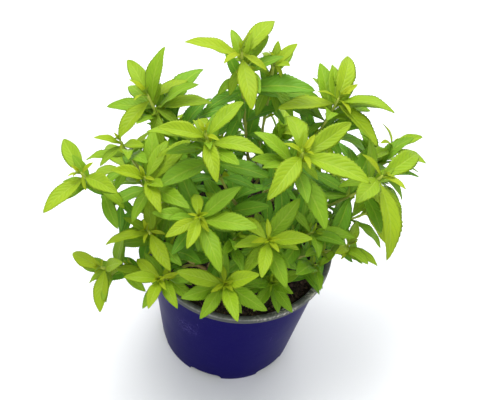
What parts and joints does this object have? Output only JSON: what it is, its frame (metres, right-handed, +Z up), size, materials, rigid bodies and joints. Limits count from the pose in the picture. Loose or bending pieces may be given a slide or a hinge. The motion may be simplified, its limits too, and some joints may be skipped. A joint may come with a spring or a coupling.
{
  "type": "potted lemon verbena",
  "caption": "Bushy lemon verbena herb with whorled narrow leaves, growing in a round tapered plastic nursery pot.",
  "frame": {"origin": "middle of the pot's underside, on the surface that it stands on", "axes": "+Z up along the pot's axis, -Y towards the side seen in the picture"},
  "size_m": [0.2373, 0.1911, 0.254],
  "materials": {
    "pot_plastic": "smooth deep blue plastic, black inside and on the rim, lightly scuffed",
    "soil": "matt crumbly peat",
    "bark": "matt brown bark",
    "foliage": "soft satin leaf surface"
  },
  "bodies": {
    "root": {"pot": "pot_plastic", "shoot_back_1": "foliage", "shoot_back_2": "foliage", "shoot_back_3": "foliage", "shoot_back_4": "foliage", "shoot_back_5": "foliage", "shoot_back_6": "foliage", "shoot_far_left": "foliage", "shoot_far_right": "foliage", "shoot_front": "foliage", "shoot_front_left": "foliage", "shoot_front_right": "foliage", "shoot_inner_front": "foliage", "shoot_inner_left": "foliage", "shoot_inner_middle": "foliage", "shoot_left": "foliage", "shoot_left_mid": "foliage", "shoot_low_left": "foliage", "shoot_mid_left": "foliage", "shoot_middle": "foliage", "shoot_right": "foliage", "shoot_right_low": "foliage", "shoot_right_mid": "foliage", "shoot_right_rim": "foliage", "shoot_right_top": "foliage", "shoot_top": "foliage", "shoot_top_right": "foliage", "shoot_upper_left": "foliage", "shoot_upper_mid": "foliage", "shoot_upper_right": "foliage", "soil": "soil", "woody_stem_back": "bark", "woody_stem_centre": "bark", "woody_stem_front": "bark", "woody_stem_left": "bark", "woody_stem_right": "bark"}
  },
  "joints": []
}
